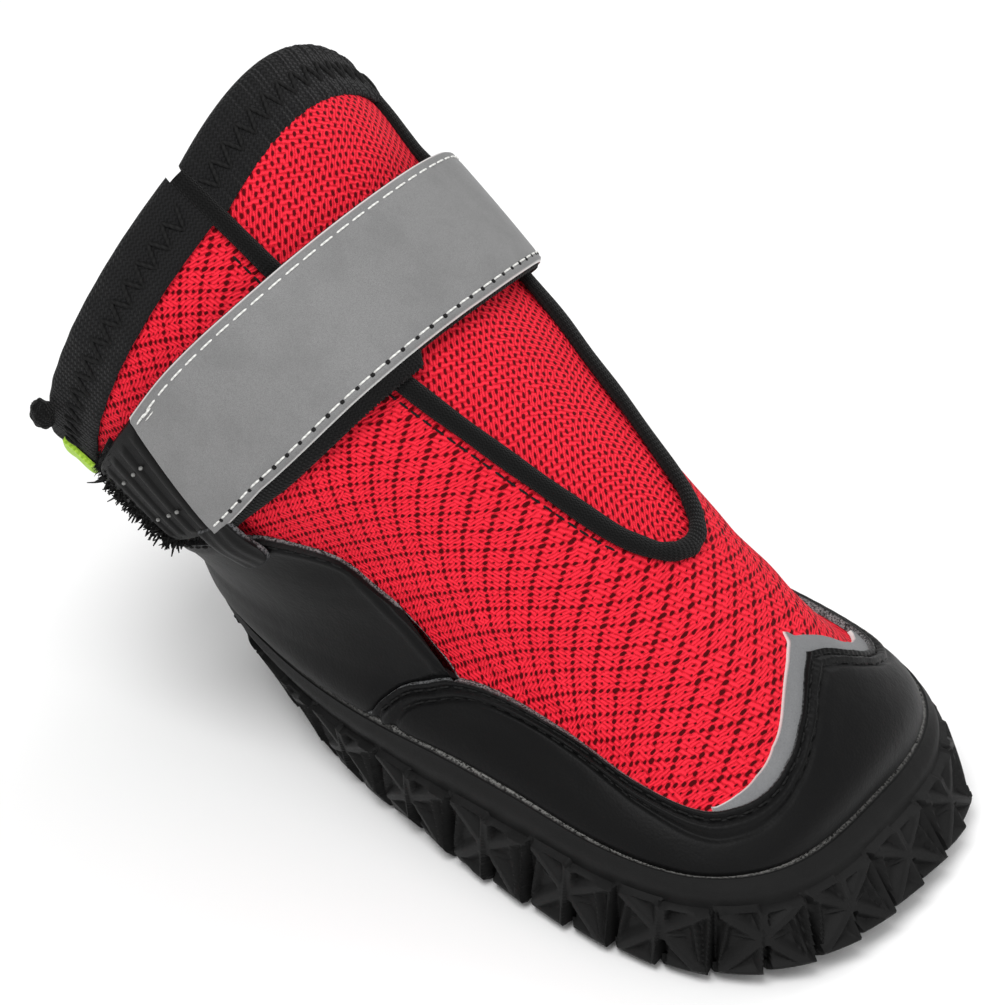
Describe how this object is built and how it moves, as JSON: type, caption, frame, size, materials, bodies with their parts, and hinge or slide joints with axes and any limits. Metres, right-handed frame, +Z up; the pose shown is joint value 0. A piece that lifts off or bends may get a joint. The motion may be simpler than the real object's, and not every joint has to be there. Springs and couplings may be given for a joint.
{
  "type": "dog boot",
  "caption": "Dog boot of red air mesh with a lugged black rubber sole, leatherette toe and heel guards, a knitted collar and a grey strap over the throat.",
  "frame": {"origin": "on the floor, under the middle of the boot's box", "axes": "+X from heel to toe, +Y to the boot's left, +Z up from the floor to the collar"},
  "size_m": [0.1328, 0.0724, 0.1003],
  "materials": {
    "outsole": "moulded black rubber, matte",
    "insole": "black foam board",
    "upper": "red coarse air mesh",
    "tongue": "red fine mesh",
    "heel_counter": "black leatherette, scuffed edge",
    "toe_cap": "black leatherette, two rows of stitching",
    "toe_trim": "grey reflective strip",
    "throat_binding": "black binding",
    "collar_band": "black knitted band, zigzag stitched",
    "tongue_band": "black knitted band",
    "strap_backing": "black webbing",
    "strap": "grey reflective tape",
    "strap_tip": "moulded black tip",
    "loop_patch": "black loop fastener",
    "back_tab": "black binding end",
    "back_tag": "lime green ribbon, plain"
  },
  "bodies": {
    "root": {"outsole": "outsole", "insole": "insole", "upper": "upper", "tongue": "tongue", "heel_counter": "heel_counter", "toe_cap": "toe_cap", "toe_trim": "toe_trim", "throat_binding": "throat_binding", "collar_band": "collar_band", "tongue_band": "tongue_band", "strap_backing": "strap_backing", "strap": "strap", "strap_tip": "strap_tip", "loop_patch": "loop_patch", "back_tab": "back_tab", "back_tag": "back_tag"}
  },
  "joints": []
}
